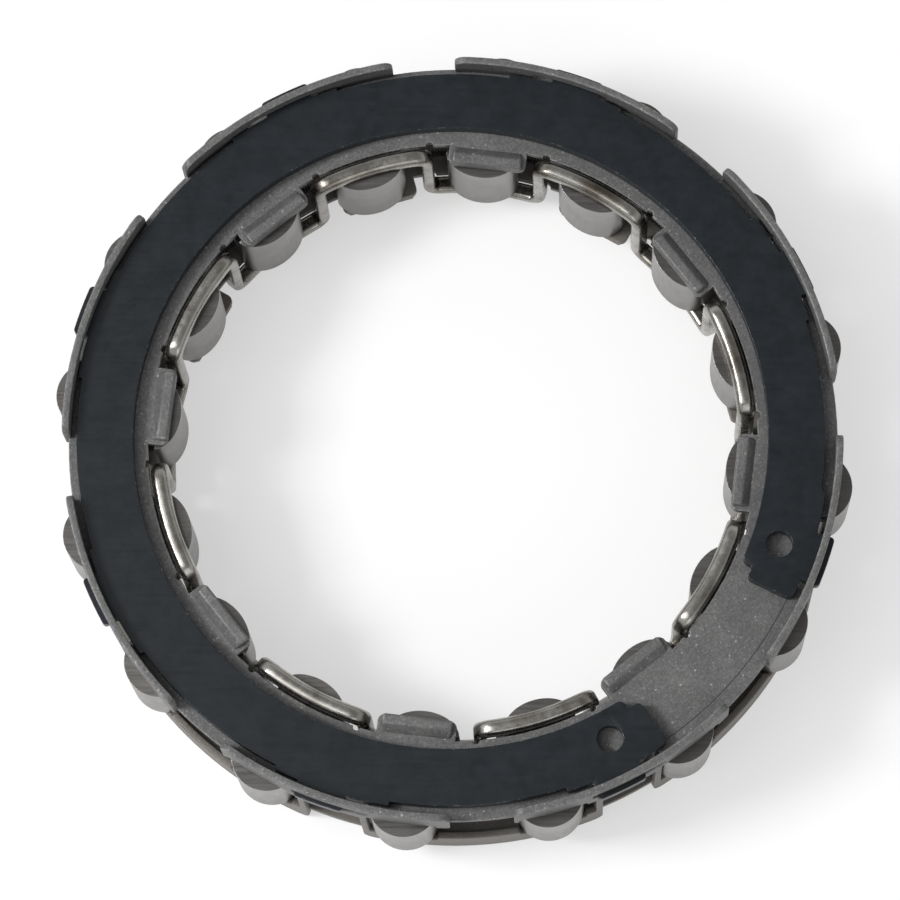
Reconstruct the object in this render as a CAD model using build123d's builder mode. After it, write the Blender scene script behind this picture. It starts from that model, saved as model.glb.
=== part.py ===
"""Sprag clutch insert: a castellated outer cage, a meander ring, leaning sprags, springs and a clip.

Sizes are in millimetres. +Z runs along the clutch axis towards the side that carries the clip, and
the origin lies on the axis, half way along the clutch. Angles are in degrees about +Z from +X.
"""

import os
from math import acos, atan2, cos, degrees, hypot, pi, radians, sin

from build123d import *

# Driving dimensions: the inner race and the sprags that stand on it
INNER_RACE_RADIUS = 19.05
SPRAG_SPACING = 7.4
FIRST_SPRAG = -6.9
SPRAG_LENGTH = 6.7
SPRAG_HEIGHT = 8.75
FREE_OVERHANG = 0.25
CAM_RADIUS = 2.45
INNER_CAM_OFFSET = 0.3
OUTER_CAM_OFFSET = -0.33
WAIST_DEPTH = 0.4
LEAN = 18.0

# Outer cage
SHEET = 0.6
WALL = 0.5
SPRAG_PROUD = 0.9
CAGE_HEIGHT = 12.4
FLANGE_FACE = 4.0
SKIRT_END = 2.6
TOP_GAP_HALF = 4.7
BOTTOM_GAP_HALF = 4.3
CROSSBAR = 0.5
PLATE_INSET = 0.3
ARC_CORNER = 0.8
ARC_LAG = 0.05
TAB_REACH = 1.5
TAB_WIDTH = 5.4
TAB_CORNER = 0.3
LIP_LENGTH = 4.8
LIP_TOP = 0.7
LIP_FOOT = 1.25
LIP_HEIGHT = 0.5
EAR_SLOT_HALF = 5.9
EAR_SLOT_HEIGHT = 1.2
LOOP_NOTCH = 0.35

# Meander ring
RING_THICKNESS = 1.2
LOOP_FACE = 4.45
LEG_WIDTH = 0.9
LOOP_CORNER = 1.4

# Retaining clip
CLIP_THICKNESS = 1.0
CLIP_SETBACK = 0.8
LAND_STEP = 0.3
LAND_HALF = 9.0
EAR_PROUD = 0.3
END_EAR_PROUD = 0.5
EAR_HALF = 3.75
EAR_LAG = 1.3
CLIP_LAG = 0.3
CLIP_END_REACH = 8.1
CLIP_END_ROUND = 0.5
TONGUE_LENGTH = 0.9
TONGUE_STEP = 0.8
TONGUE_ROUND = 0.3
PLIER_HOLE_RADIUS = 0.9
PLIER_HOLE_FROM_END = 7.5

# Energising springs
SPRING_WIRE = 0.6
SPRING_BEYOND_CAM = 1.05
SPRING_DEPTH = 0.42

# Clearances
RACE_CLEARANCE = 0.55
SPRAG_SIDE = 0.05
SPRAG_SWAY = 0.12
RING_GAP = 0.1
LAND_GAP = 0.25
CLIP_LIFT = 0.05
SPRING_GAP = 0.2

# Sizes that follow
ARC_COUNT = int(pi * INNER_RACE_RADIUS / SPRAG_SPACING)
SPRAG_COUNT = 2 * ARC_COUNT
PITCH = 360 / SPRAG_COUNT
HALF_HEIGHT = CAGE_HEIGHT / 2
FLANGE_INSIDE = FLANGE_FACE - SHEET
HALF_LENGTH = SPRAG_LENGTH / 2
FREE_INNER_RADIUS = INNER_RACE_RADIUS - FREE_OVERHANG
FREE_OUTER_RADIUS = FREE_INNER_RADIUS + SPRAG_HEIGHT
INNER_CAM = (FREE_INNER_RADIUS + CAM_RADIUS, INNER_CAM_OFFSET)
OUTER_CAM = (FREE_OUTER_RADIUS - CAM_RADIUS, OUTER_CAM_OFFSET)
WALL_OUTER_RADIUS = FREE_OUTER_RADIUS - SPRAG_PROUD
WALL_INNER_RADIUS = WALL_OUTER_RADIUS - WALL
PLATE_RADIUS = WALL_OUTER_RADIUS - PLATE_INSET
RING_INNER_RADIUS = INNER_RACE_RADIUS + RACE_CLEARANCE
RING_OUTER_RADIUS = RING_INNER_RADIUS + RING_THICKNESS
LOOP_INSIDE = HALF_LENGTH + 2 * SPRAG_SIDE
FLANGE_BORE = RING_OUTER_RADIUS + RING_GAP
TAB_RADIUS = FLANGE_BORE - TAB_REACH
CLIP_INNER_RADIUS = FLANGE_BORE + CLIP_SETBACK
LAND_RADIUS = WALL_INNER_RADIUS - LAND_GAP
CLIP_OUTER_RADIUS = LAND_RADIUS - LAND_STEP
EAR_RADIUS = WALL_OUTER_RADIUS + EAR_PROUD
END_EAR_RADIUS = WALL_OUTER_RADIUS + END_EAR_PROUD
PLIER_HOLE_CIRCLE = (CLIP_INNER_RADIUS + CLIP_OUTER_RADIUS) / 2
SPRING_CIRCLE = INNER_CAM[0] + SPRING_BEYOND_CAM
SPRING_HEIGHT = HALF_LENGTH - SPRING_DEPTH
FIRST_LOOP = FIRST_SPRAG + degrees(atan2(INNER_CAM[1], INNER_CAM[0]))
TOP_ARC = FIRST_SPRAG - PITCH / 2 - ARC_LAG
BOTTOM_ARC = TOP_ARC + PITCH
CLIP_GAP = TOP_ARC - PITCH - CLIP_LAG
CLIP_OPENING_HALF = PITCH - CLIP_END_REACH
SLOT_CUTBACK = CLIP_OUTER_RADIUS + CLIP_LIFT
BAR_HALF = degrees(CROSSBAR / WALL_INNER_RADIUS) / 2


def polar(radius, angle):
    return (radius * cos(radians(angle)), radius * sin(radians(angle)))


def upright(angle, radius):
    """Plane facing outwards at this angle and radius: its x runs round the ring and its y along Z."""
    return Plane(
        origin=(*polar(radius, angle), 0),
        x_dir=(*polar(1, angle + 90), 0),
        z_dir=(*polar(1, angle), 0),
    )


def sector(inner, outer, middle, half_angle):
    """Draw a piece of a flat ring that reaches half_angle to either side of the middle."""
    low, high = middle - half_angle, middle + half_angle
    with BuildSketch() as shape:
        with BuildLine():
            ThreePointArc(polar(outer, low), polar(outer, middle), polar(outer, high))
            Line(polar(outer, high), polar(inner, high))
            ThreePointArc(polar(inner, high), polar(inner, middle), polar(inner, low))
            Line(polar(inner, low), polar(outer, low))
        make_face()
    return shape.sketch


def open_slot(plane, half_width, base, mouth, mouth_corner):
    """Draw a slot that is open at its mouth, where its two edges are rounded off."""
    side = 1 if mouth > base else -1
    shoulder = mouth - side * mouth_corner
    wide = half_width + mouth_corner
    bulge = mouth_corner * (1 - cos(radians(45)))
    right = (half_width + bulge, mouth - side * bulge)
    with BuildSketch(plane) as slot:
        with BuildLine():
            Polyline(
                (half_width, shoulder), (half_width, base), (-half_width, base), (-half_width, shoulder)
            )
            ThreePointArc((-half_width, shoulder), (-right[0], right[1]), (-wide, mouth))
            Polyline((-wide, mouth), (-wide, mouth + side), (wide, mouth + side), (wide, mouth))
            ThreePointArc((wide, mouth), right, (half_width, shoulder))
        make_face()
    return slot.sketch


def cam_reach(radius):
    """Angle at this radius between the middle of an outer cam and its edge."""
    centre = hypot(*OUTER_CAM)
    return degrees(acos((centre**2 + radius**2 - CAM_RADIUS**2) / (2 * centre * radius)))


CAM_ANGLE = degrees(atan2(OUTER_CAM[1], OUTER_CAM[0]))
NOTCH_HALF = cam_reach(WALL_INNER_RADIUS) + degrees(SPRAG_SWAY / WALL_INNER_RADIUS)

# ---- Outer cage: plates, lips, arcs and crossbars ---------------------------------------------


def flange(first_tab):
    """Draw an end plate: a ring with a tab over every second sprag and notches by the loops."""
    with BuildSketch() as plate:
        Circle(PLATE_RADIUS)
        Circle(FLANGE_BORE, mode=Mode.SUBTRACT)
        with PolarLocations(FLANGE_BORE, SPRAG_COUNT, first_tab + PITCH / 2):
            RegularPolygon(LOOP_NOTCH, 6, mode=Mode.SUBTRACT)
        with PolarLocations(FLANGE_BORE, ARC_COUNT, first_tab):
            Rectangle(2 * TAB_REACH, TAB_WIDTH)
        chamfer(plate.vertices().filter_by(lambda v: hypot(v.X, v.Y) < FLANGE_BORE - LOOP_NOTCH), TAB_CORNER)
    return plate.sketch


def make_lip():
    """Build the lip pressed up along a tab's inner edge: flat on top, sloping down outwards."""
    with BuildPart() as lip:
        with BuildSketch(Plane.XZ):
            with BuildLine():
                Polyline(
                    (TAB_RADIUS, FLANGE_FACE), (TAB_RADIUS + LIP_FOOT, FLANGE_FACE),
                    (TAB_RADIUS + LIP_TOP, FLANGE_FACE + LIP_HEIGHT),
                    (TAB_RADIUS, FLANGE_FACE + LIP_HEIGHT), close=True,
                )
            make_face()
        extrude(amount=LIP_LENGTH / 2, both=True)
    return lip.part


def make_arc(gap_half, ear_slot):
    """Build one upstanding arc about +X: rounded ends, a notch for each cam, and room for an ear."""
    with BuildPart() as arc:
        extrude(
            Pos(0, 0, SKIRT_END) * sector(WALL_INNER_RADIUS, WALL_OUTER_RADIUS, 0, PITCH - gap_half),
            amount=HALF_HEIGHT - SKIRT_END,
        )
        rim = arc.edges().group_by(Axis.Z)[-1]
        fillet(rim.filter_by(GeomType.LINE), ARC_CORNER)
        for side in (-1, 1):
            cam = side * PITCH / 2 + ARC_LAG + CAM_ANGLE
            notch = sector(WALL_INNER_RADIUS - WALL, WALL_OUTER_RADIUS + WALL, cam, NOTCH_HALF)
            extrude(notch, amount=FLANGE_INSIDE, mode=Mode.SUBTRACT)
        if ear_slot:
            opening = sector(WALL_INNER_RADIUS - WALL, WALL_OUTER_RADIUS + WALL, 0, EAR_SLOT_HALF)
            extrude(Pos(0, 0, FLANGE_FACE) * opening, amount=EAR_SLOT_HEIGHT, mode=Mode.SUBTRACT)
    return arc.part


top_lip = make_lip()
bottom_lip = mirror(top_lip, about=Plane.XY)
top_arc = make_arc(TOP_GAP_HALF, True)
bottom_arc = mirror(make_arc(BOTTOM_GAP_HALF, False), about=Plane.XY)
with BuildPart() as outer_cage:
    extrude(Pos(0, 0, FLANGE_INSIDE) * flange(FIRST_SPRAG), amount=SHEET)
    extrude(Pos(0, 0, -FLANGE_INSIDE) * flange(FIRST_SPRAG + PITCH), amount=-SHEET)
    with PolarLocations(0, ARC_COUNT, FIRST_SPRAG):
        add(top_lip)
    with PolarLocations(0, ARC_COUNT, FIRST_SPRAG + PITCH):
        add(bottom_lip)
    with PolarLocations(0, ARC_COUNT, TOP_ARC):
        add(top_arc)
    with PolarLocations(0, ARC_COUNT, BOTTOM_ARC):
        add(bottom_arc)
    for side in (-1, 1):
        bar_angle = side * (BOTTOM_GAP_HALF + BAR_HALF)
        bar = sector(WALL_INNER_RADIUS, WALL_OUTER_RADIUS, bar_angle, BAR_HALF)
        with PolarLocations(0, ARC_COUNT, TOP_ARC):
            add(extrude(bar, amount=SKIRT_END, both=True, mode=Mode.PRIVATE))
    setback = sector(SLOT_CUTBACK, WALL_INNER_RADIUS, 0, EAR_SLOT_HALF)
    relief = extrude(Pos(0, 0, FLANGE_INSIDE) * setback, amount=SHEET, mode=Mode.PRIVATE)
    with PolarLocations(0, ARC_COUNT, TOP_ARC):
        add(relief, mode=Mode.SUBTRACT)

# ---- Meander ring: loops over and under the sprags, joined by legs between them ----------------

with BuildPart() as meander_ring:
    with BuildSketch(Plane.XZ):
        with Locations(((RING_INNER_RADIUS + RING_OUTER_RADIUS) / 2, 0)):
            Rectangle(RING_THICKNESS, 2 * LOOP_FACE)
    revolve(axis=Axis.Z)
    mean_radius = (RING_INNER_RADIUS + RING_OUTER_RADIUS) / 2
    slot_half = mean_radius * sin(radians(PITCH / 2)) - LEG_WIDTH / 2
    for index in range(SPRAG_COUNT):
        side = 1 if index % 2 == 0 else -1
        ring_plane = upright(FIRST_LOOP + index * PITCH, RING_INNER_RADIUS - RING_THICKNESS)
        ring_slot = open_slot(ring_plane, slot_half, -side * LOOP_INSIDE, side * LOOP_FACE, LOOP_CORNER)
        extrude(ring_slot, amount=3 * RING_THICKNESS, mode=Mode.SUBTRACT)

# ---- Sprags: two cams on offset centres, a waist, and end grooves for the springs --------------


def sprag_outline():
    """Draw a sprag across the clutch axis at its free angle along +X, its waist tangent to its cams."""
    along = (OUTER_CAM[0] - INNER_CAM[0], OUTER_CAM[1] - INNER_CAM[1])
    half_span = hypot(*along) / 2
    tilt = degrees(atan2(along[1], along[0]))
    waist_half = CAM_RADIUS - WAIST_DEPTH
    hollow = (half_span**2 + waist_half**2 - CAM_RADIUS**2) / (2 * WAIST_DEPTH)
    meet = CAM_RADIUS / (CAM_RADIUS + hollow)
    touch = (half_span * (1 - meet), (waist_half + hollow) * meet)
    middle = ((INNER_CAM[0] + OUTER_CAM[0]) / 2, (INNER_CAM[1] + OUTER_CAM[1]) / 2)
    with BuildSketch(Pos(*middle) * Rot(0, 0, tilt)) as outline:
        with BuildLine():
            ThreePointArc((-touch[0], -touch[1]), (-half_span - CAM_RADIUS, 0), (-touch[0], touch[1]))
            ThreePointArc((-touch[0], touch[1]), (0, waist_half), touch)
            ThreePointArc(touch, (half_span + CAM_RADIUS, 0), (touch[0], -touch[1]))
            ThreePointArc((touch[0], -touch[1]), (0, -waist_half), (-touch[0], -touch[1]))
        make_face()
    return outline.sketch


def spring_crossing(side, lean):
    """Where the spring's circle crosses one side of a sprag that has leant, in the sprag's own frame."""
    reach = OUTER_CAM[0] - SPRING_CIRCLE
    turned = (side - OUTER_CAM[1] + reach * sin(lean)) / cos(lean)
    sagitta = (turned + OUTER_CAM[1]) ** 2 / (2 * SPRING_CIRCLE)
    return OUTER_CAM[0] - (reach + sagitta) * cos(lean) - turned * sin(lean)


def make_sprag(angle):
    """Build one sprag and turn it to its place round the clutch."""
    flanks = (INNER_CAM[1] - CAM_RADIUS, INNER_CAM[1] + CAM_RADIUS)
    crossings = [spring_crossing(side, lean) for side in flanks for lean in (0, radians(LEAN))]
    room = SPRING_WIRE / 2 / cos(radians(LEAN)) + SPRING_GAP
    groove_low, groove_high = min(crossings) - room, max(crossings + [SPRING_CIRCLE]) + room
    groove_depth = SPRING_DEPTH + SPRING_WIRE / 2 + SPRING_GAP
    with BuildPart() as sprag:
        extrude(Pos(0, 0, -HALF_LENGTH) * sprag_outline(), amount=SPRAG_LENGTH)
        for side in (-1, 1):
            with BuildSketch(Plane.XY.offset(side * HALF_LENGTH)):
                with Locations(((groove_low + groove_high) / 2, 0)):
                    Rectangle(groove_high - groove_low, 4 * CAM_RADIUS)
            extrude(amount=-side * groove_depth, mode=Mode.SUBTRACT)
    return Rot(0, 0, angle) * sprag.part


# ---- Retaining clip ---------------------------------------------------------------------------


def corners_from_gap(vertices, half_angle, inner, outer):
    """The clip's corners at this angle to either side of its gap, between two radii."""
    found = ShapeList()
    for corner in vertices:
        turn = degrees(atan2(corner.Y, corner.X)) - CLIP_GAP
        from_gap = abs((turn + 180) % 360 - 180)
        if abs(from_gap - half_angle) < 0.01 and inner < hypot(corner.X, corner.Y) < outer:
            found.append(corner)
    return found


TONGUE_RADIUS = CLIP_INNER_RADIUS + TONGUE_STEP
STEP_HALF = CLIP_OPENING_HALF + degrees(TONGUE_LENGTH / TONGUE_RADIUS)
with BuildPart() as retaining_clip:
    with BuildSketch(Plane.XY.offset(FLANGE_FACE + CLIP_LIFT)) as clip_outline:
        Circle(CLIP_OUTER_RADIUS)
        Circle(CLIP_INNER_RADIUS, mode=Mode.SUBTRACT)
        add(sector(CLIP_INNER_RADIUS, LAND_RADIUS, CLIP_GAP, PITCH))
        for arc in range(ARC_COUNT):
            middle = TOP_ARC + arc * 2 * PITCH
            reach = END_EAR_RADIUS if arc in (0, ARC_COUNT - 1) else EAR_RADIUS
            add(sector(CLIP_INNER_RADIUS, LAND_RADIUS, middle, LAND_HALF))
            add(sector(CLIP_INNER_RADIUS, reach, middle - EAR_LAG, EAR_HALF))
        add(sector(FLANGE_BORE, EAR_RADIUS, CLIP_GAP, CLIP_OPENING_HALF), mode=Mode.SUBTRACT)
        add(sector(FLANGE_BORE, TONGUE_RADIUS, CLIP_GAP, STEP_HALF), mode=Mode.SUBTRACT)
        for half_angle, inner, outer, rounding in (
            (CLIP_OPENING_HALF, PLIER_HOLE_CIRCLE, EAR_RADIUS, CLIP_END_ROUND),
            (CLIP_OPENING_HALF, FLANGE_BORE, PLIER_HOLE_CIRCLE, TONGUE_ROUND),
            (STEP_HALF, FLANGE_BORE, TONGUE_RADIUS - TONGUE_STEP / 2, CLIP_END_ROUND),
        ):
            fillet(corners_from_gap(clip_outline.vertices(), half_angle, inner, outer), rounding)
        for side in (-1, 1):
            hole_angle = CLIP_GAP + side * (CLIP_OPENING_HALF + PLIER_HOLE_FROM_END)
            with Locations(polar(PLIER_HOLE_CIRCLE, hole_angle)):
                Circle(PLIER_HOLE_RADIUS, mode=Mode.SUBTRACT)
    extrude(amount=CLIP_THICKNESS)

# ---- Energising springs in the sprags' end grooves --------------------------------------------


def spring_section(height):
    """Draw the section of a spring, a six-sided stand-in for its closely wound coil."""
    with BuildSketch(Plane.XZ) as section:
        with Locations((SPRING_CIRCLE, height)):
            RegularPolygon(SPRING_WIRE / 2, 6)
    return section.sketch


with BuildPart() as spring_upper:
    revolve(spring_section(SPRING_HEIGHT), axis=Axis.Z)

with BuildPart() as spring_lower:
    revolve(spring_section(-SPRING_HEIGHT), axis=Axis.Z)

# ---- Write every piece ------------------------------------------------------------------------

pieces = {
    "outer_cage": outer_cage.part,
    "meander_ring": meander_ring.part,
    "retaining_clip": retaining_clip.part,
    "spring_upper": spring_upper.part,
    "spring_lower": spring_lower.part,
}
for index in range(SPRAG_COUNT):
    pieces[f"sprag_{index + 1:02d}"] = make_sprag(FIRST_SPRAG + index * PITCH)
os.makedirs("parts", exist_ok=True)
for name, piece in pieces.items():
    piece.label = name
    export_step(piece, f"parts/{name}.step")
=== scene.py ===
# %% [markdown]
# # A sprag clutch insert, dressed for a close look
#
# The insert is a ring of sixteen hard steel sprags held in a pressed cage. It locks a shaft to a
# hub in one direction and lets it run free in the other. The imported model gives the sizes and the
# joints, and this lesson models the visible surfaces again with softer edges, and gives each a
# finish.

# %% Load the frame
import math

import bmesh
import bpy
from mathutils import Matrix, Vector


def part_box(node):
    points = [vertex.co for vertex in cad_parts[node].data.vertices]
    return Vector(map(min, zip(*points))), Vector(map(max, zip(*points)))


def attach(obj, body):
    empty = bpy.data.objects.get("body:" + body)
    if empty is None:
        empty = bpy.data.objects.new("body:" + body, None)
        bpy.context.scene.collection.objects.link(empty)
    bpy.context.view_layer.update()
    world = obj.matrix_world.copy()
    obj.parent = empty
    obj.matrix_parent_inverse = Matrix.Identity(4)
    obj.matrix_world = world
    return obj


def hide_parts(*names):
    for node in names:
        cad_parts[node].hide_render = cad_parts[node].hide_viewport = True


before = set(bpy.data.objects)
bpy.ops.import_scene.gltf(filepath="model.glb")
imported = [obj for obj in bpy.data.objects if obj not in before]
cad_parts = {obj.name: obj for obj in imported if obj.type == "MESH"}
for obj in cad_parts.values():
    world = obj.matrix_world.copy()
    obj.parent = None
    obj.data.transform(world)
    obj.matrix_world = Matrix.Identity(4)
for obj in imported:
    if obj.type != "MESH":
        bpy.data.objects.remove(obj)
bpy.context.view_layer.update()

# %% [markdown]
# ## Sizes
#
# Everything here is drawn in millimetres, because clutch drawings are, and is scaled to metres
# when it becomes an object. Angles are in degrees round the clutch axis. The outer sizes come
# from the frame, so that they agree with the solids.

# %% Sizes shared by the pieces
MM = 0.001
TO_MM = 1 / MM

cage_low, cage_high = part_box("outer_cage")
clip_low, clip_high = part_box("retaining_clip")
_, ring_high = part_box("meander_ring")

CAGE_TOP = cage_high.z * TO_MM
CLIP_BASE = clip_low.z * TO_MM
CLIP_TOP = clip_high.z * TO_MM
LOOP_TOP = ring_high.z * TO_MM

PITCH = 22.5
CELLS = 8
FIRST_SPRAG = -6.9
TOP_ARC = -18.2
FLANGE_TOP = 4.0
FLANGE_UNDERSIDE = 3.4
SKIRT_END = 2.6
WALL_OUTER = 26.65
WALL_INNER = 26.15
print("cage top", round(CAGE_TOP, 2), "clip", round(CLIP_BASE, 2), "to", round(CLIP_TOP, 2))

# %% [markdown]
# ## Drawing outlines
#
# Sheet metal is drawn flat. A corner is a point with a radius, and one helper turns a list of
# such corners into a smooth outline. Arcs come from the circle's own formula.


# %% Outline helpers
ON_AXIS = Vector((0, 0))


def polar(radius, angle):
    return Vector((radius * math.cos(math.radians(angle)), radius * math.sin(math.radians(angle))))


def arc(centre, radius, start, end, step=3.0):
    """Points of an arc, no further apart than step degrees."""
    count = max(2, math.ceil(abs(end - start) / step))
    return [centre + polar(radius, start + (end - start) * i / count) for i in range(count + 1)]


def rounded(corners, step=15.0):
    """Outline through corners given as (x, y, radius), with each corner rounded off."""
    outline = []
    for index, (x, y, radius) in enumerate(corners):
        here = Vector((x, y))
        before = Vector(corners[index - 1][:2]) - here
        after = Vector(corners[(index + 1) % len(corners)][:2]) - here
        if radius == 0:
            outline.append(here)
            continue
        opening = before.angle(after)
        reach = radius / math.tan(opening / 2)
        inwards = (before.normalized() + after.normalized()).normalized()
        middle = here + inwards * radius / math.sin(opening / 2)
        first = here + before.normalized() * reach - middle
        last = here + after.normalized() * reach - middle
        turn = first.angle_signed(last)
        count = max(2, math.ceil(abs(math.degrees(turn)) / step))
        for i in range(count + 1):
            outline.append(middle + Matrix.Rotation(-turn * i / count, 2) @ first)
    return outline


# %% [markdown]
# ## From an outline to a plate
#
# A plate starts as a filled outline with its holes, is extruded to its thickness, and has its
# rims rounded by a bevel. Where it will be bent round the clutch it is first sliced into narrow
# strips, because only a vertex can follow the bend. The rim faces are marked, so that a finish
# can show where handling has worn them.


# %% Plate helpers
WORN = "worn_edge"
FLAT = math.radians(1)
SHARP_ANGLE = math.radians(40)


def merge_flats(bm):
    """Dissolve the edges between triangles that lie in one plane."""
    bmesh.ops.dissolve_limit(
        bm, angle_limit=FLAT, verts=bm.verts, edges=bm.edges, use_dissolve_boundaries=False
    )


def cut_along(bm, point, normal):
    """Add edges where the plane through this point crosses the mesh."""
    geometry = bm.verts[:] + bm.edges[:] + bm.faces[:]
    bmesh.ops.bisect_plane(bm, geom=geometry, dist=1e-6, plane_co=point, plane_no=normal)


def round_edges(bm, chosen, size, segments=3):
    """Bevel the edges that a test chooses, and mark the new faces as the ones that wear."""
    worn = bm.faces.layers.float.new(WORN)
    edges = [e for e in bm.edges if chosen(e)]
    made = bmesh.ops.bevel(
        bm, geom=edges, offset=size, offset_type="OFFSET", segments=segments, profile=0.5,
        affect="EDGES", clamp_overlap=True, material=-1,
    )
    for face in made["faces"]:
        face[worn] = 1.0


def fill(outlines):
    """A flat face inside the first outline and outside the others."""
    bm = bmesh.new()
    for outline in outlines:
        ring = [bm.verts.new((p.x, p.y, 0)) for p in outline]
        for a, b in zip(ring, ring[1:] + ring[:1]):
            bm.edges.new((a, b))
    bmesh.ops.remove_doubles(bm, verts=bm.verts, dist=1e-5)
    bmesh.ops.triangle_fill(bm, use_beauty=True, use_dissolve=False, edges=bm.edges)
    merge_flats(bm)
    for face in bm.faces:
        if face.normal.z < 0:
            face.normal_flip()
    return bm


def slice_across(bm, start, end, step):
    """Cut the flat plate into strips of this width along X."""
    count = math.ceil((end - start) / step)
    for i in range(1, count):
        cut_along(bm, Vector((start + (end - start) * i / count, 0, 0)), (1, 0, 0))


def thicken(bm, thickness, rim, segments=3, open_ends=()):
    """Extrude the flat plate upwards and round its rims, leaving the ends at these x open."""
    extruded = bmesh.ops.extrude_face_region(bm, geom=bm.faces[:])
    raised = [v for v in extruded["geom"] if isinstance(v, bmesh.types.BMVert)]
    bmesh.ops.translate(bm, verts=raised, vec=(0, 0, thickness))
    bmesh.ops.recalc_face_normals(bm, faces=bm.faces)
    cut = [f for f in bm.faces if any(stands_at(f, x) for x in open_ends)]
    bmesh.ops.delete(bm, geom=cut, context="FACES_ONLY")
    round_edges(bm, is_rim, rim, segments)
    return bm


def stands_at(face, x):
    """Whether a face lies in the plane at this x."""
    return all(abs(v.co.x - x) < 1e-4 for v in face.verts)


def is_rim(edge):
    """Whether an edge divides a flat side of the plate from its cut edge."""
    flats = [abs(f.normal.z) > 0.9 for f in edge.link_faces]
    return len(flats) == 2 and flats[0] != flats[1]


def stand_round(bm, inner, outer):
    """Bend a flat plate into an upright wall: x runs along its outer side, y up, z outwards."""
    for vert in bm.verts:
        along, height, depth = vert.co
        vert.co = (*polar(inner + depth, math.degrees(along / outer)), height)
    bmesh.ops.recalc_face_normals(bm, faces=bm.faces)


def lie_round(bm, reference):
    """Bend a flat plate into a flat ring: x runs along the reference radius, y is a radius."""
    for vert in bm.verts:
        along, radius, height = vert.co
        vert.co = (*polar(radius, math.degrees(along / reference)), height)
    bmesh.ops.recalc_face_normals(bm, faces=bm.faces)


def copy_round(bm, count, first=0.0):
    """Turn the piece to its first place and repeat it evenly round the axis."""
    turn = Matrix.Rotation(math.radians(first), 3, "Z")
    bmesh.ops.rotate(bm, verts=bm.verts, cent=(0, 0, 0), matrix=turn)
    bmesh.ops.spin(
        bm, geom=bm.verts[:] + bm.edges[:] + bm.faces[:], cent=(0, 0, 0), axis=(0, 0, 1),
        dvec=(0, 0, 0), angle=math.tau * (count - 1) / count, steps=count - 1, use_duplicate=True,
    )
    bmesh.ops.remove_doubles(bm, verts=bm.verts, dist=1e-4)


def lay_up(bm, height, flip=False):
    """Set a plate at its height, or mirror it to the same height below."""
    bmesh.ops.translate(bm, verts=bm.verts, vec=(0, 0, height))
    if flip:
        bmesh.ops.scale(bm, verts=bm.verts, vec=(1, 1, -1))
        bmesh.ops.reverse_faces(bm, faces=bm.faces)


def make_object(name, parts, material, body):
    """Join bmeshes into one smooth-shaded object in metres that rides on a body."""
    joined = bmesh.new()
    for bm in parts:
        part = bpy.data.meshes.new("part")
        bm.to_mesh(part)
        bm.free()
        joined.from_mesh(part)
        bpy.data.meshes.remove(part)
    bmesh.ops.scale(joined, verts=joined.verts, vec=(MM, MM, MM))
    mesh = bpy.data.meshes.new(name)
    joined.to_mesh(mesh)
    joined.free()
    mesh.materials.append(material)
    mesh.shade_smooth()
    mesh.set_sharp_from_angle(angle=SHARP_ANGLE)
    piece = bpy.data.objects.new(name, mesh)
    bpy.context.scene.collection.objects.link(piece)
    even = piece.modifiers.new("even_flats", "WEIGHTED_NORMAL")
    even.keep_sharp = True
    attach(piece, body)
    print(name, len(mesh.polygons), "faces")
    return piece


# %% [markdown]
# ## Finishes
#
# Five steels are seen here. Each finish is a small graph of noise and cell textures on object
# coordinates, so the grain keeps its real size however the piece is bent. A helper makes a node
# and sets its inputs in one call, which keeps each finish short enough to read.


# %% Material helpers
def start_material(name):
    """A new material, its Principled shader, a helper that adds a node, and one that links to it.

    A node's inputs are given by name, or as i0, i1 and so on where several share a name.
    """
    material = bpy.data.materials.new(name)
    material.use_nodes = True
    tree = material.node_tree
    shader = tree.nodes["Principled BSDF"]

    def node(kind, settings=None, **inputs):
        made = tree.nodes.new("ShaderNode" + kind)
        for key, value in (settings or {}).items():
            setattr(made, key, value)
        for key, value in inputs.items():
            numbered = key[0] == "i" and key[1:].isdigit()
            socket = made.inputs[int(key[1:]) if numbered else key]
            if isinstance(value, bpy.types.NodeSocket):
                tree.links.new(value, socket)
            else:
                socket.default_value = value
        return made

    def link(output, name_of_input):
        tree.links.new(output, shader.inputs[name_of_input])

    return material, shader, node, link


def ramp(node, factor, stops):
    """A colour ramp through (position, colour) stops."""
    made = node("ValToRGB", Fac=factor)
    elements = made.color_ramp.elements
    while len(elements) < len(stops):
        elements.new(0.5)
    for element, (position, colour) in zip(elements, stops):
        element.position = position
        element.color = (*colour, 1)
    return made.outputs["Color"]


def grey(value, warmth=0.0):
    """A grey of this brightness, warmer or cooler by a small share."""
    return (value * (1 + warmth), value, value * (1 - warmth))


def blend_colours(node, factor, first, second, mode="MIX"):
    """The first colour blended with the second by this factor."""
    settings = {"data_type": "RGBA", "blend_type": mode}
    return node("Mix", settings, i0=factor, i6=first, i7=second).outputs[2]


def spread(node, value, low, high, first, last):
    """A value between low and high, stretched to run from first to last."""
    return node("MapRange", i0=value, i1=low, i2=high, i3=first, i4=last).outputs[0]


def compute(node, operation, *values):
    """One step of arithmetic on values or sockets."""
    inputs = {f"i{k}": value for k, value in enumerate(values)}
    return node("Math", {"operation": operation}, **inputs).outputs[0]


def add_relief(node, link, height, strength):
    """Dents of a fiftieth of a millimetre, where the height map is low."""
    relief = node("Bump", Strength=strength, Distance=0.02 * MM, Height=height)
    link(relief.outputs["Normal"], "Normal")


# %% [markdown]
# ### Phosphated sheet
#
# The cage is phosphated: a crystalline coat with a fine sparkle. Cells a tenth of a millimetre
# across each take their own brightness, a few of them flash, and a slow noise makes the coat
# patchy. Where a rim is handled the coat is thin and the steel below shows.


# %% Phosphated sheet finish
# A thin near-black circle is painted on the top plate at this radius, this far to each side.
DARK_RING_RADIUS = 25.35
DARK_RING_HALF = 0.035
# The warm brown the sheet turns to towards the bottom: a stain, kept lighter than the coat as a
# painted sheen.
BROWN_STAIN_AND_SHEEN = (0.155, 0.14, 0.122, 1)


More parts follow.
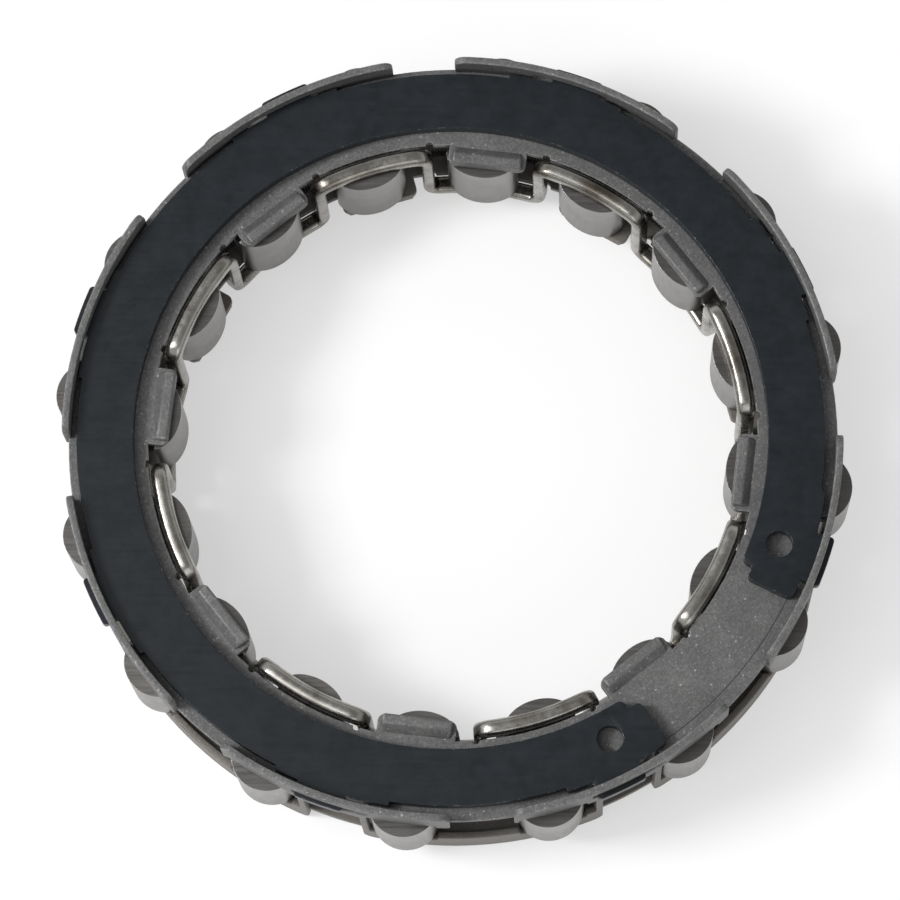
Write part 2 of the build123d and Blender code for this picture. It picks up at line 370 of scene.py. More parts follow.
def phosphated_finish():
    material, shader, node, link = start_material("phosphated_steel")
    place = node("TexCoord").outputs["Object"]
    crystals = node("TexVoronoi", Vector=place, Scale=9000.0)
    patches = node("TexNoise", Vector=place, Scale=420.0, Detail=5.0, Roughness=0.6)
    grains = ramp(node, crystals.outputs["Color"], [
        (0.0, grey(0.085)), (0.6, grey(0.122)), (0.9, grey(0.16)), (0.985, grey(0.34)),
    ])
    cloud = ramp(node, patches.outputs["Fac"], [(0.3, grey(0.82)), (0.7, grey(1.12, 0.012))])
    coat = blend_colours(node, 1.0, grains, cloud, "MULTIPLY")
    rim = node("Attribute", {"attribute_name": WORN}).outputs["Fac"]
    flecks = node("TexNoise", Vector=place, Scale=2600.0, Detail=3.0)
    bare = spread(node, flecks.outputs["Fac"], 0.45, 0.7, 0.05, 0.6)
    worn = compute(node, "MULTIPLY", rim, bare)
    sheet = blend_colours(node, worn, coat, (*grey(0.26, 0.02), 1))
    height = node("SeparateXYZ", Vector=place).outputs["Z"]
    flat = node("VectorMath", {"operation": "MULTIPLY"}, i0=place, i1=(1, 1, 0))
    radius = node("VectorMath", {"operation": "LENGTH"}, i0=flat.outputs[0]).outputs["Value"]
    # A thin near-black circle is painted on the top plate at a fixed radius.
    on_dark_ring = compute(node, "COMPARE", radius, DARK_RING_RADIUS * MM, DARK_RING_HALF * MM)
    upper = compute(node, "GREATER_THAN", height, FLANGE_UNDERSIDE * MM)
    line = compute(node, "MULTIPLY", on_dark_ring, upper)
    sheet = blend_colours(node, line, sheet, (*grey(0.035), 1))
    # Towards the bottom the sheet blends into a warm brown: partly a real stain, partly painted
    # sheen that lightens the lower wall.
    low = spread(node, height, FLANGE_UNDERSIDE * MM, -SKIRT_END * MM, 0.0, 0.7)
    link(blend_colours(node, low, sheet, BROWN_STAIN_AND_SHEEN), "Base Color")
    link(spread(node, crystals.outputs["Distance"], 0.0, 0.6, 0.38, 0.6), "Roughness")
    add_relief(node, link, crystals.outputs["Distance"], 0.35)
    shader.inputs["Metallic"].default_value = 0.3
    return material


PHOSPHATED = phosphated_finish()

# %% [markdown]
# ### Black oxide
#
# The clip is spring steel with a blue-black oxide. It is almost an even colour, so what makes it
# real is slight mottling in its gloss, hair scratches, and bright flecks along the rims.


# %% Black oxide finish
BARE_SPRING_STEEL = (0.3, 0.3, 0.31, 1)


def black_oxide_finish():
    material, shader, node, link = start_material("black_oxide_steel")
    place = node("TexCoord").outputs["Object"]
    mottle = node("TexNoise", Vector=place, Scale=900.0, Detail=6.0, Roughness=0.65)
    oxide = ramp(node, mottle.outputs["Fac"], [
        (0.3, (0.0075, 0.0098, 0.0125)), (0.7, (0.012, 0.0152, 0.019)),
    ])
    rim = node("Attribute", {"attribute_name": WORN}).outputs["Fac"]
    flecks = node("TexNoise", Vector=place, Scale=3200.0, Detail=4.0, Roughness=0.7)
    bare = spread(node, flecks.outputs["Fac"], 0.56, 0.7, 0.0, 0.55)
    worn = compute(node, "MULTIPLY", rim, bare)
    link(blend_colours(node, worn, oxide, BARE_SPRING_STEEL), "Base Color")
    link(worn, "Metallic")
    streaks = node("Mapping", Vector=place, Scale=(300.0, 5200.0, 300.0), Rotation=(0, 0, 0.5))
    hair = node("TexNoise", Vector=streaks.outputs[0], Scale=1.0, Detail=2.0)
    gloss = compute(node, "ADD", mottle.outputs["Fac"], hair.outputs["Fac"])
    link(spread(node, gloss, 0.7, 1.3, 0.3, 0.42), "Roughness")
    add_relief(node, link, mottle.outputs["Fac"], 0.12)
    shader.inputs["Specular IOR Level"].default_value = 0.3
    return material


BLACK_OXIDE = black_oxide_finish()

# %% [markdown]
# ### Formed bright steel
#
# The meander ring is pressed from bright strip and tumbled, which leaves a satin steel with a
# faint warm stain. Roughness does most of the work: it varies in small soft clouds.


# %% Formed steel finish
def formed_finish():
    material, shader, node, link = start_material("formed_steel")
    place = node("TexCoord").outputs["Object"]
    stain = node("TexNoise", Vector=place, Scale=380.0, Detail=4.0, Roughness=0.55)
    steel = ramp(node, stain.outputs["Fac"], [
        (0.3, (0.12, 0.105, 0.086)), (0.5, (0.31, 0.297, 0.272)), (0.7, (0.42, 0.41, 0.385)),
    ])
    link(steel, "Base Color")
    tumbling = node("TexNoise", Vector=place, Scale=2400.0, Detail=5.0, Roughness=0.6)
    link(spread(node, tumbling.outputs["Fac"], 0.3, 0.7, 0.2, 0.36), "Roughness")
    add_relief(node, link, tumbling.outputs["Fac"], 0.15)
    shader.inputs["Metallic"].default_value = 1.0
    return material


FORMED = formed_finish()

# %% [markdown]
# ### Ground steel
#
# The sprags are ground on their cams and lapped on their ends, so fine straight lines run across
# them. Noise drawn out many times in one direction gives such lines. Painted shade darkens the
# flanks towards the foot, where the cams mirror the shadow on the floor, and painted shade darkens
# the lapped ends, which face up and down, for the shade under the ring's loops.


# %% Ground steel finish
# Heights between which the painted shade on the sprags' flanks fades from full to none.
FOOT_SHADE_LOW = -5.5
FOOT_SHADE_HIGH = 3.5


def ground_finish():
    material, shader, node, link = start_material("ground_steel")
    place = node("TexCoord").outputs["Object"]
    lay = node("Mapping", Vector=place, Scale=(260.0, 9500.0, 420.0), Rotation=(0, 0, 0.9))
    lines = node("TexNoise", Vector=lay.outputs[0], Scale=1.0, Detail=4.0, Roughness=0.65)
    cloud = node("TexNoise", Vector=place, Scale=500.0, Detail=3.0)
    tone = ramp(node, lines.outputs["Fac"], [(0.3, grey(0.2, 0.02)), (0.7, grey(0.3, 0.015))])
    veil = ramp(node, cloud.outputs["Fac"], [(0.3, grey(0.86, 0.015)), (0.7, grey(1.06))])
    bare = blend_colours(node, 1.0, tone, veil, "MULTIPLY")
    height = node("SeparateXYZ", Vector=place).outputs["Z"]
    # Painted shade: the flanks darken to half towards the foot, where the cams mirror the shadow on
    # the floor.
    rise = spread(node, height, FOOT_SHADE_LOW * MM, FOOT_SHADE_HIGH * MM, 0.0, 1.0)
    painted_foot_shade = ramp(node, rise, [(0.0, grey(0.5, 0.05)), (1.0, grey(1.0))])
    with_foot_shade = blend_colours(node, 1.0, bare, painted_foot_shade, "MULTIPLY")
    # Painted shade: faces that look straight up or down, the sprags' ends, are darkened for the
    # shade under the ring's loops.
    up = node("SeparateXYZ", Vector=node("NewGeometry").outputs["Normal"]).outputs["Z"]
    facing = compute(node, "ABSOLUTE", up)
    painted_end_shade = ramp(node, facing, [(0.9, grey(1.0)), (0.98, grey(0.62, 0.02))])
    link(blend_colours(node, 1.0, with_foot_shade, painted_end_shade, "MULTIPLY"), "Base Color")
    link(spread(node, lines.outputs["Fac"], 0.3, 0.7, 0.28, 0.44), "Roughness")
    add_relief(node, link, lines.outputs["Fac"], 0.12)
    shader.inputs["Metallic"].default_value = 1.0
    return material


GROUND = ground_finish()

# %% [markdown]
# ### Drawn spring wire
#
# The springs sit in the shade of the cage, so a dark steel with a little unevenness in its
# colour and gloss is enough for them.


# %% Spring wire finish
def wire_finish():
    material, shader, node, link = start_material("spring_steel")
    place = node("TexCoord").outputs["Object"]
    drawing = node("TexNoise", Vector=place, Scale=5000.0, Detail=3.0)
    link(ramp(node, drawing.outputs["Fac"], [(0.3, grey(0.035)), (0.7, grey(0.07))]), "Base Color")
    link(spread(node, drawing.outputs["Fac"], 0.3, 0.7, 0.4, 0.55), "Roughness")
    shader.inputs["Metallic"].default_value = 0.8
    return material


WIRE = wire_finish()

# %% [markdown]
# ## The cage's wall
#
# One strip of sheet makes the whole wall. It repeats every 45 degrees: a raised arc with two
# notches for the cams below it, two crossbars, and the halves of two turned-down arcs. One such
# cell is drawn flat, thickened, bent round, and repeated eight times. Its ends are left open, so
# that the cells join without a seam inside the sheet.

# %% Wall sizes
NOTCH = 3.4
TOP_HALF = 17.8
BOTTOM_GAP = 4.3
BAR_SIDE = 5.4
CAMS = (-11.95, 10.55)
CAM_ROOM = 5.11
EAR_SLOT_HALF = 5.9
EAR_SLOT_TOP = 5.2
ARC_CORNER = 0.8
WINDOW_CORNER = 0.3
BAR_CORNER = 0.2
SHORT_BAR_CORNER = 0.15
ROOT_CORNER = 0.1
SLOT_CORNER = 0.12
RIM = 0.14
WALL_STRIP = 0.7


def along_wall(angle):
    """Length along the outer side of the wall for an angle round the axis."""
    return math.radians(angle) * WALL_OUTER


# %% Wall
def wall_cell():
    """Outline of one 45 degree cell of the wall, drawn flat, and its ear slot."""
    left, right = CAMS[0] - CAM_ROOM, CAMS[1] + CAM_ROOM
    inner_left = CAMS[0] + CAM_ROOM
    corners = [
        (-PITCH, -SKIRT_END, 0), (left, -SKIRT_END, BAR_CORNER), (left, -NOTCH, WINDOW_CORNER),
        (inner_left, -NOTCH, WINDOW_CORNER), (inner_left, -SKIRT_END, ROOT_CORNER),
        (-BAR_SIDE, -SKIRT_END, SHORT_BAR_CORNER), (-BAR_SIDE, SKIRT_END, SHORT_BAR_CORNER),
        (inner_left, SKIRT_END, ROOT_CORNER), (inner_left, NOTCH, WINDOW_CORNER),
        (left, NOTCH, WINDOW_CORNER), (left, SKIRT_END, ROOT_CORNER),
        (-TOP_HALF, SKIRT_END, ROOT_CORNER), (-TOP_HALF, CAGE_TOP, ARC_CORNER),
        (TOP_HALF, CAGE_TOP, ARC_CORNER), (TOP_HALF, SKIRT_END, BAR_CORNER),
        (right, SKIRT_END, BAR_CORNER), (right, NOTCH, WINDOW_CORNER),
        (BAR_SIDE, NOTCH, BAR_CORNER), (BAR_SIDE, -NOTCH, BAR_CORNER),
        (right, -NOTCH, WINDOW_CORNER), (right, -SKIRT_END, BAR_CORNER),
        (PITCH, -SKIRT_END, 0), (PITCH, -CAGE_TOP, 0),
        (BOTTOM_GAP, -CAGE_TOP, ARC_CORNER), (BOTTOM_GAP, SKIRT_END, BAR_CORNER),
        (-BOTTOM_GAP, SKIRT_END, BAR_CORNER), (-BOTTOM_GAP, -CAGE_TOP, ARC_CORNER),
        (-PITCH, -CAGE_TOP, 0),
    ]
    slot = [
        (-EAR_SLOT_HALF, FLANGE_TOP, SLOT_CORNER), (EAR_SLOT_HALF, FLANGE_TOP, SLOT_CORNER),
        (EAR_SLOT_HALF, EAR_SLOT_TOP, SLOT_CORNER), (-EAR_SLOT_HALF, EAR_SLOT_TOP, SLOT_CORNER),
    ]
    return [rounded([(along_wall(a), z, r) for a, z, r in shape]) for shape in (corners, slot)]


def cage_wall():
    """The whole wall, bent round from eight cells."""
    bm = fill(wall_cell())
    end = along_wall(PITCH)
    thicken(bm, WALL_OUTER - WALL_INNER, RIM, open_ends=(-end, end))
    slice_across(bm, -end, end, WALL_STRIP)
    stand_round(bm, WALL_INNER, WALL_OUTER)
    copy_round(bm, CELLS, TOP_ARC)
    return bm


# %% [markdown]
# ## The cage's plates
#
# Each end has a ring plate that keeps the sprags in. Over every second sprag a tab reaches
# inwards and ends in a pressed lip, which stiffens it. The top plate is cut back beside the ear
# slots.

# %% Plate sizes
BORE = 20.9
PLATE_EDGE = 26.35
CUTBACK = 25.65
TAB_EDGE = 19.4
TAB_HALF = 2.7
TAB_CORNER = 0.5
LIP_HALF = 2.4
LIP_HEIGHT = 0.5
LIP_ROOT = -0.3
LIP_FACE = TAB_EDGE + 0.02
LIP_TOP_EDGE = 20.1
LIP_FOOT = 20.65
LIP_RIM = 0.25
LIP_OUTER_CORNER = 0.3
LIP_INNER_CORNER = 0.18
LOOP_NOTCH = 0.26
NOTCH_STEP = 22.5
PLATE_RIM = 0.08
PLATE_STEP = 1.0


# %% Plates
def plate_bore(first_tab):
    """Inner outline of a plate: tabs, the bore between, and a notch beside each loop's end."""
    outline = []
    root = math.degrees(math.asin(TAB_HALF / BORE))
    for cell in range(CELLS):
        middle = first_tab + cell * 2 * PITCH
        turn = Matrix.Rotation(math.radians(middle), 2)
        foot = BORE * math.cos(math.radians(root))
        tab = rounded([
            (foot, -TAB_HALF, 0), (TAB_EDGE, -TAB_HALF, TAB_CORNER),
            (TAB_EDGE, TAB_HALF, TAB_CORNER), (foot, TAB_HALF, 0),
        ])
        outline += [turn @ point for point in tab]
        angle = middle + root
        for notch in (middle + PITCH / 2, middle + 1.5 * PITCH):
            half = math.degrees(LOOP_NOTCH / BORE)
            outline += arc(ON_AXIS, BORE, angle, notch - half, PLATE_STEP)[1:-1]
            outline += arc(polar(BORE, notch), LOOP_NOTCH, notch - 90, notch + 90, NOTCH_STEP)
            angle = notch + half
        outline += arc(ON_AXIS, BORE, angle, middle + 2 * PITCH - root, PLATE_STEP)[1:-1]
    return outline


def plate_rim(cut_back):
    """Outer outline of a plate, cut back beside the ears on the clip's side."""
    if not cut_back:
        return arc(ON_AXIS, PLATE_EDGE, 0, 360, PLATE_STEP)[:-1]
    outline = []
    for cell in range(CELLS):
        middle = TOP_ARC + cell * 2 * PITCH
        first, last = middle - EAR_SLOT_HALF, middle + EAR_SLOT_HALF
        outline += arc(ON_AXIS, CUTBACK, first, last, PLATE_STEP)
        next_slot = middle + 2 * PITCH - EAR_SLOT_HALF
        outline += arc(ON_AXIS, PLATE_EDGE, last, next_slot, PLATE_STEP)
    return outline


def plate(first_tab, cut_back):
    """A flat ring plate with its rims rounded."""
    bm = fill([plate_rim(cut_back), plate_bore(first_tab)])
    thicken(bm, FLANGE_TOP - FLANGE_UNDERSIDE, PLATE_RIM)
    return bm


def lips(first_tab):
    """Pressed lips: a ridge with a steep inner side and a sloping outer side."""
    bm = fill([rounded([
        (LIP_FACE, LIP_ROOT, 0), (LIP_FOOT, LIP_ROOT, 0), (LIP_FOOT, 0, 0),
        (LIP_TOP_EDGE, LIP_HEIGHT, LIP_OUTER_CORNER), (LIP_FACE, LIP_HEIGHT, LIP_INNER_CORNER),
    ])])
    thicken(bm, 2 * LIP_HALF, LIP_RIM)
    for vert in bm.verts:
        radius, height, across = vert.co
        vert.co = (radius, across - LIP_HALF, height)
    bmesh.ops.recalc_face_normals(bm, faces=bm.faces)
    copy_round(bm, CELLS, first_tab)
    return bm


def cage_end(first_tab, cut_back, flip):
    """A plate with its lips, set on the clip's side or turned to the other."""
    sheet = plate(first_tab, cut_back)
    lay_up(sheet, FLANGE_UNDERSIDE, flip)
    ridges = lips(first_tab)
    lay_up(ridges, FLANGE_TOP, flip)
    return [sheet, ridges]


cage_parts = [cage_wall()]
cage_parts += cage_end(FIRST_SPRAG, True, False)
cage_parts += cage_end(FIRST_SPRAG + PITCH, False, True)
cage = make_object("cage_sheet", cage_parts, PHOSPHATED, "cage")
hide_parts("outer_cage")

# %% [markdown]
# ## The meander ring
#
# The inner ring passes over one sprag and under the next. It is drawn flat like the wall, one
# cell from the middle of a low loop to the next, with large outer corners and a rim so round that
# the strip reads almost as a wire.

# %% Meander ring
RING_INNER = 19.6
RING_OUTER = 20.8
RING_RIM = 0.42
LOOP_CROWN = 0.16
LOOP_UNDER = 3.45
LEG_HALF = 0.45
LOOP_CORNER = 1.4
LEG_ROOT_CORNER = 0.35
LOW_LOOP = -6.09
RING_STRIP = 0.5
RING_STEP = 11.25
CROWN_LEVELS = (0.3, 0.4, 0.5, 0.6, 0.7)


def crown(bm, thickness, rise):
    """Belly the sides that face up and down, most at half thickness, so they read as round."""
    for share in CROWN_LEVELS:
        cut_along(bm, (0, 0, thickness * share), (0, 0, 1))
    bm.normal_update()
    moves = []
    for vert in bm.verts:
        across = 2 * vert.co.z / thickness - 1
        facing = max(0.0, vert.normal.y * math.copysign(1, vert.co.y))
        moves.append((vert, rise * (1 - across * across) * facing * math.copysign(1, vert.co.y)))
    for vert, move in moves:
        vert.co.y += move


def meander():
    """The whole ring, bent round from eight cells of one high loop and two half low ones."""
    end = math.radians(PITCH) * RING_OUTER
    top = LOOP_TOP - LOOP_CROWN
    inside = end / 2 - LEG_HALF
    outside = end / 2 + LEG_HALF
    corners = [
        (-end, -top, 0), (-end, -LOOP_UNDER, 0), (-outside, -LOOP_UNDER, LEG_ROOT_CORNER),
        (-outside, top, LOOP_CORNER), (outside, top, LOOP_CORNER),
        (outside, -LOOP_UNDER, LEG_ROOT_CORNER), (end, -LOOP_UNDER, 0), (end, -top, 0),
        (inside, -top, LOOP_CORNER), (inside, LOOP_UNDER, LEG_ROOT_CORNER),
        (-inside, LOOP_UNDER, LEG_ROOT_CORNER), (-inside, -top, LOOP_CORNER),
    ]
    bm = fill([rounded(corners, RING_STEP)])
    thicken(bm, RING_OUTER - RING_INNER, RING_RIM, segments=6, open_ends=(-end, end))
    crown(bm, RING_OUTER - RING_INNER, LOOP_CROWN)
    slice_across(bm, -end, end, RING_STRIP)
    stand_round(bm, RING_INNER, RING_OUTER)
    copy_round(bm, CELLS, LOW_LOOP + PITCH)
    return bm


ring = make_object("meander_strip", [meander()], FORMED, "cage")
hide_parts("meander_ring")

# %% [markdown]
# ## The retaining clip
#
# The clip is blanked from strip, so its outline is all there is to it: full-width lands, an ear
# in each slot, two plier holes, and a small step at the inner corner of each end. It is drawn as
# a straight bar and bent flat into its ring.

# %% Clip sizes
CLIP_GAP = -41.0
CLIP_GAP_HALF = 14.4
CLIP_INNER = 21.7
CLIP_WAIST = 25.6
CLIP_LAND = 25.9
LAND_HALF = 9.0
EAR = 26.95
END_EAR = 27.15
EAR_LAG = 1.3
EAR_HALF = 3.75
TONGUE = 22.5
TONGUE_LENGTH = 0.9
HOLE_CIRCLE = 23.65
HOLE_RADIUS = 0.9
HOLE_FROM_END = 7.5
HOLE_STEP = 10
CLIP_SLACK = 0.18
SLACK_TOWARDS = 137
END_CORNER = 0.5
LAND_CORNER = 0.1
EAR_CORNER = 0.25
TONGUE_CORNER = 0.3
TONGUE_ROOT = 0.15
CLIP_RIM = 0.07
CLIP_STRIP = 0.6


# %% Clip
def clip_rim(start, end):
    """Corners of the clip's outer side as (angle, radius, rounding), ears and lands in turn."""
    corners = [(start, CLIP_LAND, END_CORNER)]
    for cell in range(CELLS):
        middle = TOP_ARC + cell * 2 * PITCH
        reach = END_EAR if cell in (0, CELLS - 1) else EAR
        low, high = middle - LAND_HALF, middle + LAND_HALF
        ear_low, ear_high = middle - EAR_LAG - EAR_HALF, middle - EAR_LAG + EAR_HALF
        if low > start:
            corners += [(low, CLIP_WAIST, LAND_CORNER), (low, CLIP_LAND, LAND_CORNER)]
        corners += [
            (ear_low, CLIP_LAND, LAND_CORNER), (ear_low, reach, EAR_CORNER),
            (ear_high, reach, EAR_CORNER), (ear_high, CLIP_LAND, LAND_CORNER),
        ]
        if high < end:
            corners += [(high, CLIP_LAND, LAND_CORNER), (high, CLIP_WAIST, LAND_CORNER)]
    return corners + [(end, CLIP_LAND, END_CORNER)]


def clip_bar():
    """The clip as a straight bar with its two holes, ready to be bent."""
    def along(angle):
        return math.radians(angle) * HOLE_CIRCLE

    start, end = CLIP_GAP + CLIP_GAP_HALF, CLIP_GAP + 360 - CLIP_GAP_HALF
    step = math.degrees(TONGUE_LENGTH / TONGUE)
    corners = clip_rim(start, end) + [
        (end, TONGUE, TONGUE_CORNER), (end - step, TONGUE, TONGUE_ROOT),
        (end - step, CLIP_INNER, END_CORNER), (start + step, CLIP_INNER, END_CORNER),
        (start + step, TONGUE, TONGUE_ROOT), (start, TONGUE, TONGUE_CORNER),
    ]
    outlines = [rounded([(along(a), r, rounding) for a, r, rounding in corners])]
    for angle in (start + HOLE_FROM_END, end - HOLE_FROM_END):
        centre = Vector((along(angle), HOLE_CIRCLE))
        outlines.append(arc(centre, HOLE_RADIUS, 0, 360, HOLE_STEP)[:-1])
    bm = fill(outlines)
    thicken(bm, CLIP_TOP - CLIP_BASE, CLIP_RIM)
    slice_across(bm, along(start), along(end), CLIP_STRIP)
    return bm


bar = clip_bar()
lie_round(bar, HOLE_CIRCLE)
bmesh.ops.translate(bar, verts=bar.verts, vec=(*polar(CLIP_SLACK, SLACK_TOWARDS), 0))
lay_up(bar, CLIP_BASE)
clip = make_object("clip_blank", [bar], BLACK_OXIDE, "cage")
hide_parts("retaining_clip")

# %% [markdown]
# ## The sprags
#
# Seen along the axis a sprag has a blunt nose towards the shaft, a shallow waist, and a round cam
# towards the hub. The nose is half an ellipse and the cam half a circle, and the waist between
# them follows a cosine. The slab is built up in steps, so that a groove for the spring is left
# across each end, and then every hard edge is broken by a small bevel, as tumbling does.

# %% Sprag sizes
NOSE_REACH = 18.8
NOSE_DEPTH = 1.72
NOSE_SIDE = 0.42
NOSE_HALF = 2.52
CAM_CENTRE = 25.1
CAM_SIDE = -0.33
CAM_RADIUS = 2.45
CAM_STEP = 7.5
WAIST_DEPTH = 0.4
GROOVE_NEAR = 20.33
GROOVE_FAR = 23.22
GROOVE_DEPTH = 0.92
SPRAG_BREAK = 0.11
FLANK_STEPS = 20
NOSE_STEPS = 24
HARD = math.radians(50)
_, sprag_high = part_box("sprag_01")
SPRAG_END = sprag_high.z * TO_MM


# %% Sprags
def sprag_outline():
    """A sprag along +X: nose, one flank, cam, and the other flank."""
    nose_middle = NOSE_REACH + NOSE_DEPTH
    flank = []
    for i in range(1, FLANK_STEPS):
        share = i / FLANK_STEPS
        waist = WAIST_DEPTH * (0.5 - 0.5 * math.cos(math.tau * share))
        turn = 0.5 - 0.5 * math.cos(math.pi * share)
        middle = NOSE_SIDE + (CAM_SIDE - NOSE_SIDE) * turn
        half = NOSE_HALF + (CAM_RADIUS - NOSE_HALF) * turn - waist
        flank.append((nose_middle + (CAM_CENTRE - nose_middle) * share, middle, half))
    nose = [
        Vector((nose_middle - NOSE_DEPTH * math.cos(turn), NOSE_SIDE - NOSE_HALF * math.sin(turn)))
        for turn in (math.pi * (i / NOSE_STEPS - 0.5) for i in range(NOSE_STEPS + 1))
    ]
    low = [Vector((x, middle - half)) for x, middle, half in flank]
    high = [Vector((x, middle + half)) for x, middle, half in reversed(flank)]
    cam = arc(Vector((CAM_CENTRE, CAM_SIDE)), CAM_RADIUS, -90, 90, CAM_STEP)
    return nose + low + cam + high


def raise_faces(bm, faces, height, keep_base=False):
    """Extrude these faces straight up or down, and drop the ones they leave inside a solid."""
    raised = bmesh.ops.extrude_face_region(bm, geom=faces)["geom"]
    verts = [v for v in raised if isinstance(v, bmesh.types.BMVert)]
    bmesh.ops.translate(bm, verts=verts, vec=(0, 0, height))
    if not keep_base:
        bmesh.ops.delete(bm, geom=faces, context="FACES_ONLY")


def sprag_slab():
    """The sprag with a groove across each end and its hard edges broken."""
    bm = fill([sprag_outline()])
    for edge in (GROOVE_NEAR, GROOVE_FAR):
        cut_along(bm, (edge, 0, 0), (1, 0, 0))
    core = SPRAG_END - GROOVE_DEPTH
    bmesh.ops.translate(bm, verts=bm.verts, vec=(0, 0, -core))
    raise_faces(bm, bm.faces[:], 2 * core, keep_base=True)
    bmesh.ops.recalc_face_normals(bm, faces=bm.faces)
    for side in (-1, 1):
        ends = [
            f for f in bm.faces
            if f.normal.z * side > 0.9 and not GROOVE_NEAR < f.calc_center_median().x < GROOVE_FAR
        ]
        raise_faces(bm, ends, side * GROOVE_DEPTH)
    bmesh.ops.recalc_face_normals(bm, faces=bm.faces)
    merge_flats(bm)
    round_edges(bm, is_hard, SPRAG_BREAK)
    return bm


def is_hard(edge):
    """Whether two faces meet at an edge at an angle that tumbling would break."""
    return len(edge.link_faces) == 2 and edge.calc_face_angle(0) > HARD


for index in range(2 * CELLS):
    node_name = f"sprag_{index + 1:02d}"
    slab = sprag_slab()
    place = Matrix.Rotation(math.radians(FIRST_SPRAG + index * PITCH), 3, "Z")
    bmesh.ops.rotate(slab, verts=slab.verts, cent=(0, 0, 0), matrix=place)
    piece = make_object("ground_" + node_name, [slab], GROUND, node_name)
    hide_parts(node_name)

# %% [markdown]
# ## The springs
#
# Two closely wound garter springs lie in the grooves across the sprags' ends and tip every sprag
# against its races. A helix laid round a circle is a formula, and a curve with a bevel turns it
# into wire.

# %% Springs
SPRING_CIRCLE = 22.3
COIL_RADIUS = 0.21
COIL_WIRE = 0.085
TURNS = 700
POINTS_PER_TURN = 8


def garter_spring(name, node_name):
    """A helix laid round the axis in the middle of its groove, turned into wire."""
    low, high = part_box(node_name)
    middle = (low.z + high.z) / 2 * TO_MM
    curve = bpy.data.curves.new(name, "CURVE")
    curve.dimensions = "3D"
    curve.bevel_depth = COIL_WIRE * MM
    curve.bevel_resolution = 1
    spline = curve.splines.new("POLY")
    count = TURNS * POINTS_PER_TURN
    spline.points.add(count - 1)
    for i, point in enumerate(spline.points):
        turn = math.tau * i / POINTS_PER_TURN
        radius = SPRING_CIRCLE + COIL_RADIUS * math.cos(turn)
        height = middle + COIL_RADIUS * math.sin(turn)
        point.co = (*(polar(radius, 360 * i / count) * MM), height * MM, 1)
    spline.use_cyclic_u = True
    wire = bpy.data.objects.new(name + "_path", curve)
    mesh = bpy.data.meshes.new_from_object(wire)
    bpy.data.objects.remove(wire)
    mesh.name = name
    mesh.materials.clear()
    mesh.materials.append(WIRE)
    mesh.shade_smooth()
    piece = bpy.data.objects.new(name, mesh)
    bpy.context.scene.collection.objects.link(piece)
    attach(piece, "cage")
    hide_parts(node_name)
    print(name, len(mesh.polygons), "faces")


garter_spring("garter_spring_upper", "spring_upper")
garter_spring("garter_spring_lower", "spring_lower")

# %% [markdown]
# ## Floor and light
#
# The insert lies on a white floor. A soft key stands half way up on the left, so every raised
# edge throws a short shadow to the right. A second softbox hangs above and to the left, where the
# flat clip mirrors its edge, and a weak one fills from the front. The walls of the studio are
# white and its ceiling dim, which gives the bright steel something to reflect.


# %% Floor
FLOOR_HALF = 2.0
BACKLIGHT = 0.5


def studio_floor():
    """A white floor that half glows where a lens or a reflection sees it, and takes the shadow."""
    bm = bmesh.new()
    bmesh.ops.create_grid(bm, x_segments=1, y_segments=1, size=FLOOR_HALF)
    bmesh.ops.translate(bm, verts=bm.verts, vec=(0, 0, cage_low.z))
    mesh = bpy.data.meshes.new("studio_floor")
    bm.to_mesh(mesh)
    bm.free()
    material, shader, node, link = start_material("white_floor")
    shader.inputs["Base Color"].default_value = (0.92, 0.92, 0.92, 1)
    shader.inputs["Roughness"].default_value = 0.9
    shader.inputs["Specular IOR Level"].default_value = 0.1
    tree = material.node_tree
    rays = node("LightPath")
    seen = compute(node, "ADD", rays.outputs["Is Camera Ray"], rays.outputs["Is Glossy Ray"])
    share = compute(node, "MULTIPLY", seen, BACKLIGHT)
    white = node("Emission", Strength=1.0)
    lit = node("MixShader", i0=share, i1=shader.outputs[0], i2=white.outputs[0])
    tree.links.new(lit.outputs[0], tree.nodes["Material Output"].inputs["Surface"])
    mesh.materials.append(material)
    floor = bpy.data.objects.new("studio_floor", mesh)
    bpy.context.scene.collection.objects.link(floor)


studio_floor()


# %% Lights
def softbox(name, direction, distance, size, power):
    """A square soft light that faces the insert from this direction."""
    light = bpy.data.lights.new(name, "AREA")
    light.shape = "SQUARE"
    light.size = size
    light.energy = power
    lamp = bpy.data.objects.new(name, light)
    towards = Vector(direction).normalized()
    lamp.location = towards * distance
    lamp.rotation_euler = towards.to_track_quat("Z", "Y").to_euler()
    bpy.context.scene.collection.objects.link(lamp)


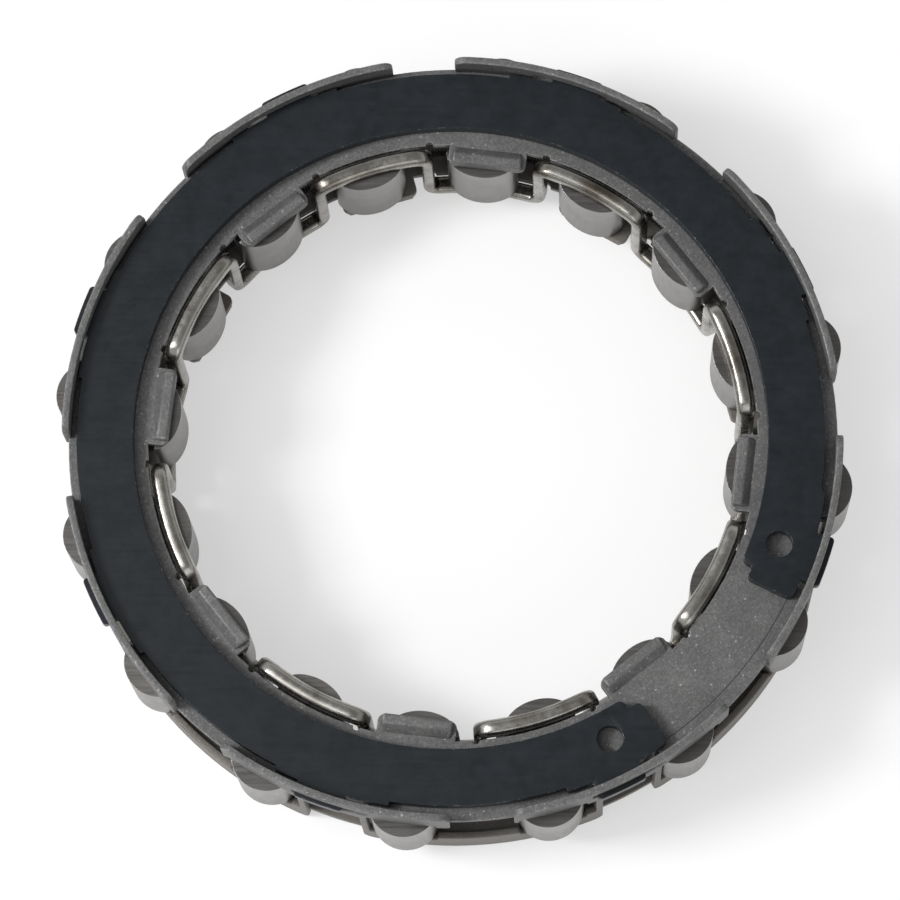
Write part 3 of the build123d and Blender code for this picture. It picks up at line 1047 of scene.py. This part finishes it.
softbox("key_left", (-0.68, -0.06, 0.73), 0.5, 0.13, 1.75)
softbox("mirror_box", (-0.42, -0.12, 0.9), 0.6, 0.34, 0.85)
softbox("fill_front", (0.25, -0.8, 0.6), 0.8, 0.5, 0.7)


# %% World
def studio_world():
    """White walls and a dim ceiling; lamps give most of the light that falls on the insert."""
    world = bpy.data.worlds.new("studio")
    bpy.context.scene.world = world
    world.use_nodes = True
    tree = world.node_tree
    background = tree.nodes["Background"]
    place = tree.nodes.new("ShaderNodeTexCoord")
    axes = tree.nodes.new("ShaderNodeSeparateXYZ")
    rise = tree.nodes.new("ShaderNodeValToRGB")
    rise.color_ramp.elements[0].position = 0.5
    rise.color_ramp.elements[0].color = (1, 1, 1, 1)
    rise.color_ramp.elements[1].position = 0.85
    rise.color_ramp.elements[1].color = (0.45, 0.45, 0.45, 1)
    tree.links.new(place.outputs["Generated"], axes.inputs[0])
    tree.links.new(axes.outputs["Z"], rise.inputs[0])
    tree.links.new(rise.outputs[0], background.inputs["Color"])
    background.inputs["Strength"].default_value = 0.7


studio_world()

# %% [markdown]
# ## Camera
#
# The camera looks down on the clip's side, twelve degrees off the axis, with a long lens.

# %% Camera
TARGET = Vector((0, 0, FLANGE_TOP * MM))
CAMERA_TILT = math.radians(12.4)
CAMERA_SIDE = math.radians(-83.5)
CAMERA_DISTANCE = 342 * MM

camera_data = bpy.data.cameras.new("camera")
camera_data.lens = 199.7
camera_data.sensor_width = 36.0
camera_data.shift_x = -0.0028
camera_data.shift_y = -0.012
camera_data.clip_start = 0.01
camera_data.clip_end = 20.0
camera = bpy.data.objects.new("camera", camera_data)
outwards = Vector((
    math.sin(CAMERA_TILT) * math.cos(CAMERA_SIDE),
    math.sin(CAMERA_TILT) * math.sin(CAMERA_SIDE),
    math.cos(CAMERA_TILT),
))
upwards = (Vector((0, 1, 0)) - outwards * outwards.y).normalized()
rightwards = upwards.cross(outwards)
camera.matrix_world = Matrix.LocRotScale(
    TARGET + outwards * CAMERA_DISTANCE,
    Matrix((rightwards, upwards, outwards)).transposed().to_quaternion(),
    None,
)
bpy.context.scene.collection.objects.link(camera)
bpy.context.scene.camera = camera
bpy.context.scene.view_settings.view_transform = "Standard"
